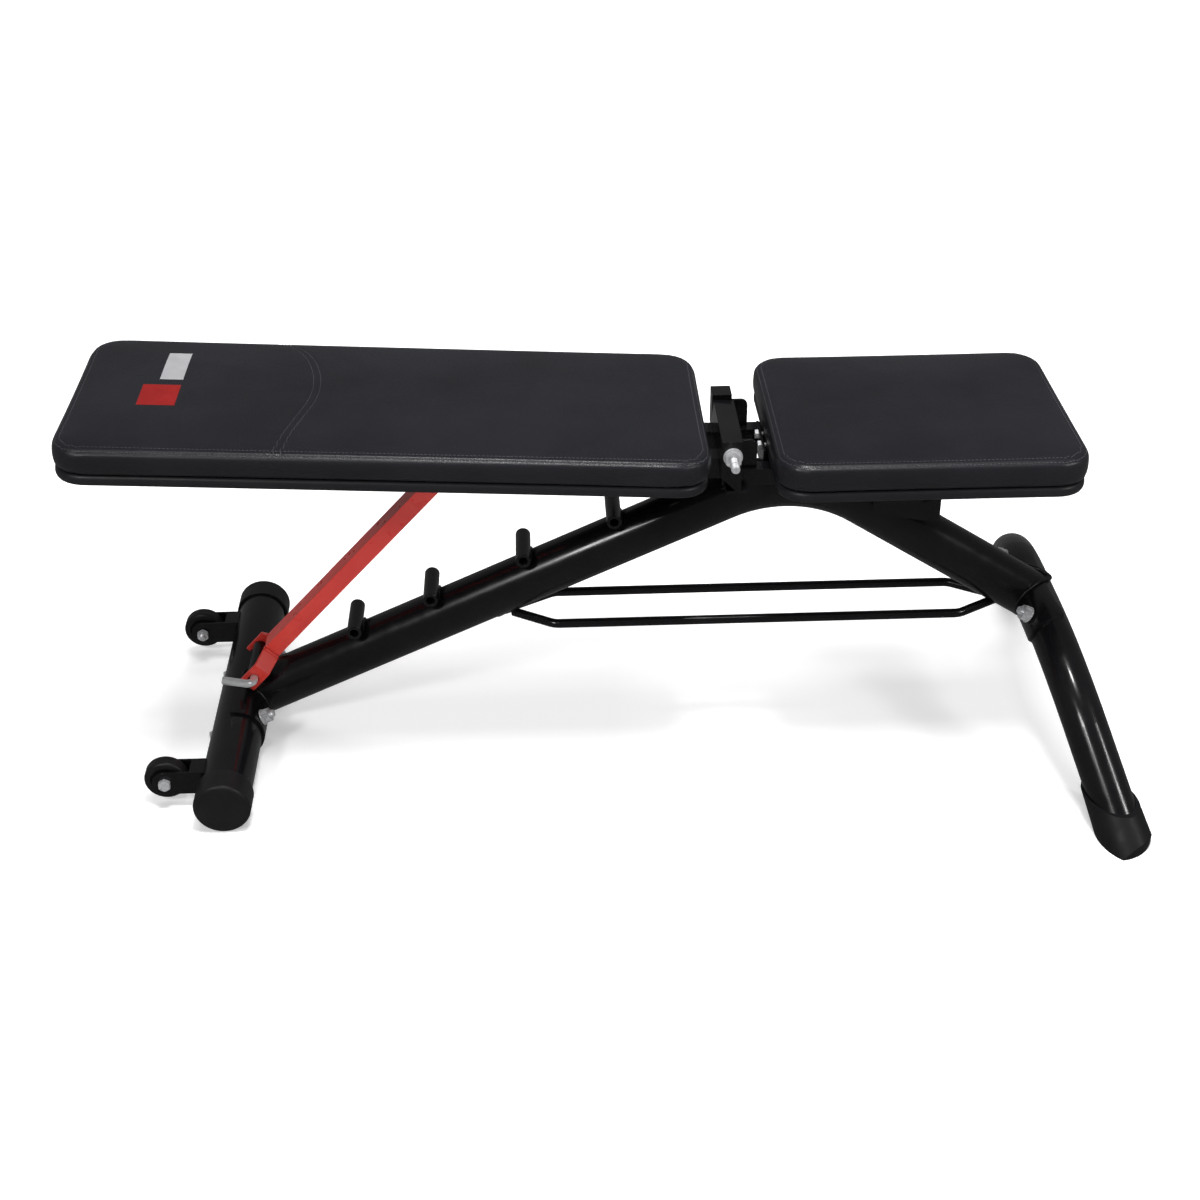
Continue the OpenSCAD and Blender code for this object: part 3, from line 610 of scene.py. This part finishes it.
def outline(half, inset, corner, count=160, pull=0.0):
    """Evenly spread points round a rectangle with rounded corners, whose sides may pull in."""
    a, b = half[0] - inset, half[1] - inset
    r = max(min(corner - inset, a, b), 2 * MM)
    straight = [2 * (b - r), 2 * (a - r)]
    arc = math.pi / 2 * r
    total = 2 * (straight[0] + straight[1]) + 4 * arc
    points = []
    centres = [(a - r, b - r), (-(a - r), b - r), (-(a - r), -(b - r)), (a - r, -(b - r))]
    for i in range(count):
        s = total * i / count + straight[0] / 2
        side = 0
        # starts in the middle of the +X side and runs toward +Y
        s = (total * i / count + 1e-9) % total
        if s < straight[0] / 2:
            p = (a, s)
        else:
            s -= straight[0] / 2
            p = None
            lengths = [straight[1], straight[0], straight[1], straight[0]]
            for side in range(4):
                cx, cy = centres[side]
                if s < arc:
                    w = side * math.pi / 2 + s / r
                    p = (cx + r * math.cos(w), cy + r * math.sin(w))
                    break
                s -= arc
                if s < lengths[side]:
                    w = (side + 1) * math.pi / 2
                    dx, dy = -math.sin(w), math.cos(w)
                    p = (cx + r * math.cos(w) + dx * s, cy + r * math.sin(w) + dy * s)
                    break
                s -= lengths[side]
            if p is None:
                p = (a, s - straight[0] / 2)
        x, y = p
        if pull:
            x *= 1 - pull / a * max(0.0, 1 - (y / b) ** 2)
            y *= 1 - pull / b * max(0.0, 1 - (x / a) ** 4)
        points.append((x, y))
    return points


CROWN = 2.5 * MM
SEAM_INSET = 3.2 * MM
SEAM_DROP = 3.6 * MM


def cushion_profile(height):
    """Inset and height of the cushion's rings, from its underside out, up the wall and over the top."""
    top = height
    base = BOARD - 0.8 * MM
    wall = top - base
    return [
        (40 * MM, base), (14 * MM, base), (5.2 * MM, base + 0.1 * MM), (2.6 * MM, base + 1.0 * MM),
        (1.2 * MM, base + 3.4 * MM), (0.5 * MM, base + 0.32 * wall), (0.5 * MM, base + 0.55 * wall),
        (1.0 * MM, base + 0.75 * wall), (2.0 * MM, top - 5.6 * MM), (3.8 * MM, top - 2.9 * MM),
        (7.5 * MM, top - 1.5 * MM), (14 * MM, top - 0.9 * MM), (30 * MM, top - 0.4 * MM),
        (60 * MM, top - 0.1 * MM), (100 * MM, top),
    ]


def swell(obj, pinned, cap, frames=20, pressure=4.0):
    """Puffs a closed form with Cloth, caps how far each point moves, and keeps the result in the mesh."""
    mesh = obj.data
    start = [v.co.copy() for v in mesh.vertices]
    group = obj.vertex_groups.new(name="held")
    for v in mesh.vertices:
        weight = pinned(v.co)
        if weight > 0:
            group.add([v.index], weight, "REPLACE")
    cloth = obj.modifiers.new("cloth", "CLOTH")
    settings = cloth.settings
    settings.quality = 5
    settings.mass = 0.3
    settings.use_pressure = True
    settings.uniform_pressure_force = pressure
    settings.tension_stiffness = 18
    settings.compression_stiffness = 18
    settings.shear_stiffness = 8
    settings.bending_stiffness = 1.5
    settings.vertex_group_mass = "held"
    settings.effector_weights.gravity = 0.0
    cloth.collision_settings.use_collision = False
    scene = bpy.context.scene
    cloth.point_cache.frame_start = 1
    cloth.point_cache.frame_end = frames
    for k in range(1, frames + 1):
        scene.frame_set(k)
    graph = bpy.context.evaluated_depsgraph_get()
    moved = [v.co.copy() for v in obj.evaluated_get(graph).data.vertices]
    obj.modifiers.remove(cloth)
    obj.vertex_groups.clear()
    scene.frame_set(1)
    for v, a, b in zip(mesh.vertices, start, moved):
        d = b - a
        if d.length > cap:
            d *= cap / d.length
        v.co = a + d


def remesh(obj, size):
    mod = obj.modifiers.new("remesh", "REMESH")
    mod.mode = "VOXEL"
    mod.voxel_size = size
    graph = bpy.context.evaluated_depsgraph_get()
    new = bpy.data.meshes.new_from_object(obj.evaluated_get(graph))
    obj.modifiers.remove(mod)
    old = obj.data
    obj.data = new
    bpy.data.meshes.remove(old)
    new.shade_smooth()


def relax(mesh, rounds, factor=0.5, keep=None):
    """Smooths a mesh a little, to take out the steps a remesh leaves."""
    bm = bmesh.new()
    bm.from_mesh(mesh)
    for _ in range(rounds):
        verts = [v for v in bm.verts if keep is None or not keep(v.co)]
        bmesh.ops.smooth_vert(
            bm, verts=verts, factor=factor, use_axis_x=True, use_axis_y=True, use_axis_z=True)
    bm.to_mesh(mesh)
    bm.free()


def rect_inset(x, y, half, corner):
    """How far inside a rounded rectangle a point is; negative outside."""
    qx = abs(x) - (half[0] - corner)
    qy = abs(y) - (half[1] - corner)
    outside = math.hypot(max(qx, 0.0), max(qy, 0.0))
    return corner - outside - min(max(qx, qy), 0.0)


def build_cushion(pad):
    bm = bmesh.new()
    rings = []
    for inset, z in cushion_profile(pad.height):
        rings.append([Vector((x, y, z)) for x, y in outline(pad.half, inset, ROUND, 160, 0.8 * MM)])
    loft(bm, rings)
    bmesh.ops.triangulate(bm, faces=[f for f in bm.faces if len(f.verts) > 4])
    obj = add_object(pad.name + "_cushion", bm, COVER, pad.body, pad.matrix, smooth=0)
    remesh(obj, 5 * MM)
    top = pad.height
    seam_z = top - SEAM_DROP

    def held(co):
        if co.z < BOARD + 2.5 * MM:
            return 1.0
        inset = rect_inset(co.x, co.y, pad.half, ROUND)
        gap = math.hypot(co.z - seam_z, inset - SEAM_INSET)
        return 0.85 if gap < 5 * MM else 0.0

    relax(obj.data, 2)
    swell(obj, held, 4.0 * MM)
    relax(obj.data, 2)
    fit_plan(obj.data, pad)
    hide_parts(pad.node)
    return obj


def fit_plan(mesh, pad):
    """Stretches a cushion in plan to the pad's own length and width, and sets its highest point."""
    reach = [max(abs(v.co[k]) for v in mesh.vertices) for k in range(2)]
    top = max(v.co.z for v in mesh.vertices)
    for v in mesh.vertices:
        for k in range(2):
            v.co[k] *= pad.half[k] / reach[k]
        over = max(0.0, (v.co.z - BOARD) / (top - BOARD))
        v.co.z += over * (pad.height + CROWN - top)


def crease_lines(obj, lines, depth, reach):
    """Presses sewn channels into a cushion along lines of points (each with the direction to press in)."""
    points = [(p, d) for line in lines for p, d in line]
    tree = KDTree(len(points))
    for i, (p, _) in enumerate(points):
        tree.insert(p, i)
    tree.balance()
    for v in obj.data.vertices:
        _, i, dist = tree.find(v.co)
        if dist < reach * 3:
            v.co += points[i][1] * depth * math.exp(-((dist / reach) ** 2))


def subdivide(obj, levels=1):
    mod = obj.modifiers.new("subdivide", "SUBSURF")
    mod.levels = mod.render_levels = levels
    graph = bpy.context.evaluated_depsgraph_get()
    new = bpy.data.meshes.new_from_object(obj.evaluated_get(graph))
    obj.modifiers.remove(mod)
    old = obj.data
    obj.data = new
    bpy.data.meshes.remove(old)
    new.shade_smooth()


def surface_of(obj):
    bm = bmesh.new()
    bm.from_mesh(obj.data)
    tree = BVHTree.FromBMesh(bm)
    bm.free()
    return tree


def on_surface(tree, points):
    """Each point moved to the nearest place on a surface, with the outward normal there."""
    out = []
    for p in points:
        q, n, _, _ = tree.find_nearest(p)
        out.append((q, n))
    return out


def stitch(bm, p, along, normal, length, thick):
    """One stitch: a short thread that dives into the cover at both ends."""
    side = normal.cross(along).normalized()
    rings = []
    for k in range(6):
        u = k / 5 * 2 - 1
        lift = thick * (0.75 - 1.25 * u * u)
        r = thick * (1 - 0.45 * abs(u) ** 3)
        centre = p + along * (u * length / 2) + normal * lift
        rings.append([centre + r * (math.cos(w) * side + math.sin(w) * normal * 0.8)
                      for w in (2 * math.pi * j / 6 for j in range(6))])
    loft(bm, rings)


def sew(name, pad, tree, lines, closed, step=4.4 * MM, length=3.3 * MM, thick=0.42 * MM):
    bm = bmesh.new()
    for line in lines:
        for p, along in resample(line, step, closed):
            q, n, _, _ = tree.find_nearest(p)
            along = (along - n * along.dot(n)).normalized()
            stitch(bm, q, along, n, length, thick)
    return add_object(name, bm, THREAD_AND_PAINTED_SHEEN, pad.body, pad.matrix, smooth=60.0)


def edge_ring(pad, inset, z, count=420):
    return [Vector((x, y, z)) for x, y in outline(pad.half, inset, ROUND, count, 0.8 * MM)]


def build_band(pad):
    """The cover drawn round the board and folded under it, with a dust cover inside the fold."""
    fold = 30 * MM
    under = 0.15 * MM
    profile = [
        (fold, under + 0.9 * MM), (fold - 1.2 * MM, under + 0.2 * MM),
        (fold - 4 * MM, under), (12 * MM, under),
        (5.5 * MM, under + 0.2 * MM), (3.0 * MM, 1.4 * MM), (1.9 * MM, 3.6 * MM), (1.6 * MM, 7.0 * MM),
        (2.0 * MM, 10.0 * MM), (3.4 * MM, 12.2 * MM),
        (6.0 * MM, BOARD + 0.1 * MM), (14 * MM, BOARD + 0.1 * MM),
    ]
    rng = random.Random(7)
    wave = [rng.uniform(-1, 1) for _ in range(40)]
    bm = bmesh.new()
    rings = []
    for inset, z in profile:
        ring = []
        points = outline(pad.half, inset, ROUND, 240, 0.8 * MM)
        for i, (x, y) in enumerate(points):
            f = i / len(points) * 40
            a, b, t = wave[int(f) % 40], wave[(int(f) + 1) % 40], f % 1
            w = a + (b - a) * (3 * t * t - 2 * t ** 3)
            edge = 1 if inset >= fold - 5 * MM else 0
            k = 1 + 0.004 * w * edge
            ring.append(Vector((x * k, y * k, z)))
        rings.append(ring)
    rows = loft(bm, rings, caps=False)
    bm.faces.new(rows[-1])
    lining = [Vector((x, y, under + 0.6 * MM)) for x, y in outline(pad.half, fold - 3 * MM, ROUND, 240)]
    face = bm.faces.new([bm.verts.new(p) for p in lining])
    face.material_index = 1
    looks = [BAND, LINING]
    obj = add_object(pad.name + "_board_cover", bm, looks, pad.body, pad.matrix, smooth=50.0)
    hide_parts(pad.board)
    return obj


def staples(pad, skip):
    """Wire staples that hold the folded cover to the board."""
    bm = bmesh.new()
    rng = random.Random(11)
    for p, along in resample(edge_ring(pad, 19 * MM, 0.1 * MM), 34 * MM, True):
        if skip(p):
            continue
        turn = Matrix.Rotation(rng.uniform(-0.3, 0.3), 3, "Z")
        d = turn @ along * 5 * MM
        drop = Vector((0, 0, 0.9 * MM))
        path = [p - d + drop, p - d, p + d, p + d + drop]
        smooth_tube(bm, path, 0.35 * MM, 6)
    return add_object(pad.name + "_staples", bm, ZINC_AND_PAINTED_REFLECTION, pad.body, pad.matrix, smooth=50.0)


# the backrest's own frame: X toward the seat, tilted about the hinge
BACK_TILT = math.radians(3.0)
PAD_GAP = 28.5 * MM
PAD_UNDER = -17 * MM
seat_low, seat_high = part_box("seat_pad")
board_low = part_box("seat_board")[0]
PAD_WIDTH = seat_high.y - seat_low.y
SEAT_LENGTH = seat_high.x - seat_low.x
BACK_LENGTH = 713 * MM
backrest = Matrix.Translation(HINGE) @ Matrix.Rotation(BACK_TILT, 4, "Y")
back_place = backrest @ Matrix.Translation((-PAD_GAP - BACK_LENGTH / 2, 0, PAD_UNDER))
seat_place = Matrix.Translation(((seat_low.x + seat_high.x) / 2, 0, board_low.z))
back = Pad("back", "backrest", "back_pad", "back_board", back_place, BACK_LENGTH, PAD_WIDTH, 47 * MM)
seat = Pad("seat", "frame", "seat_pad", "seat_board", seat_place, SEAT_LENGTH, PAD_WIDTH, 50 * MM)

# Points of the curved seam in millimetres from the middle of the back pad, right side to left
SEAM_CURVE = [
    (-110, -147), (-104, -110), (-94, -70), (-82, -20),
    (-80, 25), (-88, 72), (-104, 112), (-130, 147),
]


def spline(points, steps=12):
    """A smooth line through points (Catmull-Rom)."""
    pts = [Vector(p) for p in points]
    ends = [2 * pts[0] - pts[1]] + pts + [2 * pts[-1] - pts[-2]]
    out = []
    for a, b, c, d in zip(ends, ends[1:], ends[2:], ends[3:]):
        for k in range(steps):
            t = k / steps
            square = (2 * a - 5 * b + 4 * c - d) * t * t
            cube = (3 * b - a - 3 * c + d) * t ** 3
            out.append(0.5 * (2 * b + (c - a) * t + square + cube))
    return out + [pts[-1]]


def curved_seam(shift, z):
    """The sewn arc across the back pad, from one side to the other."""
    return [Vector((p.x * MM + shift, p.y * MM, z)) for p in spline(SEAM_CURVE)]


# The printed bars: name, ink, and their reach in millimetres from the head end and from the middle line
MARK_BARS = (
    ("grey_bar", GREY_INK, 96, 122, 22, 96),
    ("red_bar", RED_INK, 80, 122, -44, 8),
)


def print_mark(pad, tree):
    """A plain printed mark near the head end: two bare bars, one grey and one red."""
    left = -pad.half[0]
    for name, mat, x0, x1, y0, y1 in MARK_BARS:
        bm = bmesh.new()
        nx, ny = 6, 24
        rows = []
        for i in range(nx + 1):
            row = []
            for j in range(ny + 1):
                x = left + (x0 + (x1 - x0) * i / nx) * MM
                y = (y0 + (y1 - y0) * j / ny) * MM
                hit = tree.ray_cast(Vector((x, y, pad.height + 20 * MM)), Vector((0, 0, -1)))[0]
                row.append(bm.verts.new(hit + Vector((0, 0, 0.12 * MM))))
            rows.append(row)
        for a, b in zip(rows, rows[1:]):
            for j in range(ny):
                bm.faces.new((a[j], b[j], b[j + 1], a[j + 1]))
        add_object(pad.name + "_" + name, bm, mat, pad.body, pad.matrix, smooth=0)


for pad in (back, seat):
    cushion = build_cushion(pad)
    tree = surface_of(cushion)
    top = pad.height
    channels = [edge_ring(pad, 2.6 * MM, top - 4.4 * MM), edge_ring(pad, 9.2 * MM, top + 1.0 * MM)]
    cross = []
    if pad is back:
        cross = [curved_seam(0, top + 2 * MM), curved_seam(-8 * MM, top + 2 * MM)]
    pressed = []
    for line in channels + cross:
        points = [p for p, _ in resample(line, 1.5 * MM, line in channels)]
        pressed.append([(q, -n) for q, n in on_surface(tree, points)])
    subdivide(cushion)
    crease_lines(cushion, pressed, 0.85 * MM, 1.9 * MM)
    tree = surface_of(cushion)
    sew(pad.name + "_edge_stitches", pad, tree, channels, True)
    if cross:
        sew(pad.name + "_cross_stitches", pad, tree, cross, False)
        print_mark(pad, tree)
    build_band(pad)
    staples(pad, lambda p, pad=pad: abs(p.y) < 66 * MM)

# ---------------------------------------------------------------- floor, light and camera

bpy.ops.mesh.primitive_plane_add(size=30, location=(0, 0, 0))
floor = bpy.context.object
floor.name = "floor"
floor.visible_glossy = False
s = Shader("pale floor", 0.6, Emission_Color=rgb(1, 1, 1), Emission_Strength=0.35)
s.link(s.blend(s.noise(3.0, 3.0), rgb(0.93, 0.93, 0.93), rgb(0.95, 0.95, 0.95)), "Base Color")
s.bump(s.noise(220.0, 2.0), 0.1 * MM, 0.05)
floor.data.materials.append(s.mat)


def area(name, place, target, size, power, glossy=True):
    data = bpy.data.lights.new(name, "AREA")
    data.energy = power
    data.size = size
    obj = bpy.data.objects.new(name, data)
    bpy.context.scene.collection.objects.link(obj)
    obj.location = place
    obj.rotation_euler = (Vector(target) - Vector(place)).to_track_quat("-Z", "Y").to_euler()
    obj.visible_glossy = glossy


area("overhead", (0, 0.2, 5.0), (0, 0, 0), 2.6, 190, False)
area("key", (-2.4, -3.6, 3.8), (0, 0, 0.2), 0.9, 90)
area("fill", (3.4, -2.2, 3.0), (0, 0, 0.2), 0.7, 50)
area("behind", (-0.5, 4.5, 4.2), (0, 0, 0.2), 2.0, 90, False)
area("strip", (0.1, -0.7, 3.2), (0, 0, 0.4), 0.45, 40)

world = bpy.data.worlds.new("studio")
bpy.context.scene.world = world
world.use_nodes = True
world.node_tree.nodes["Background"].inputs[0].default_value = (1, 1, 1, 1)
world.node_tree.nodes["Background"].inputs[1].default_value = 0.15

bpy.context.scene.view_settings.view_transform = "Standard"

LENS = 55.98
ELEVATION, TURN, ROLL = math.radians(32.01), math.radians(2.107), math.radians(-0.376)
level = math.cos(ELEVATION)
look = Vector((math.sin(TURN) * level, math.cos(TURN) * level, -math.sin(ELEVATION)))
right = Vector((math.cos(TURN), -math.sin(TURN), 0))
up = right.cross(look)
right, up = math.cos(ROLL) * right + math.sin(ROLL) * up, math.cos(ROLL) * up - math.sin(ROLL) * right
data = bpy.data.cameras.new("camera")
data.lens = LENS
data.sensor_width = 36
camera = bpy.data.objects.new("camera", data)
bpy.context.scene.collection.objects.link(camera)
aim = Matrix((right, up, -look)).transposed().to_4x4()
camera.matrix_world = Matrix.Translation((-0.0827, -1.9193, 1.3617)) @ aim
bpy.context.scene.camera = camera
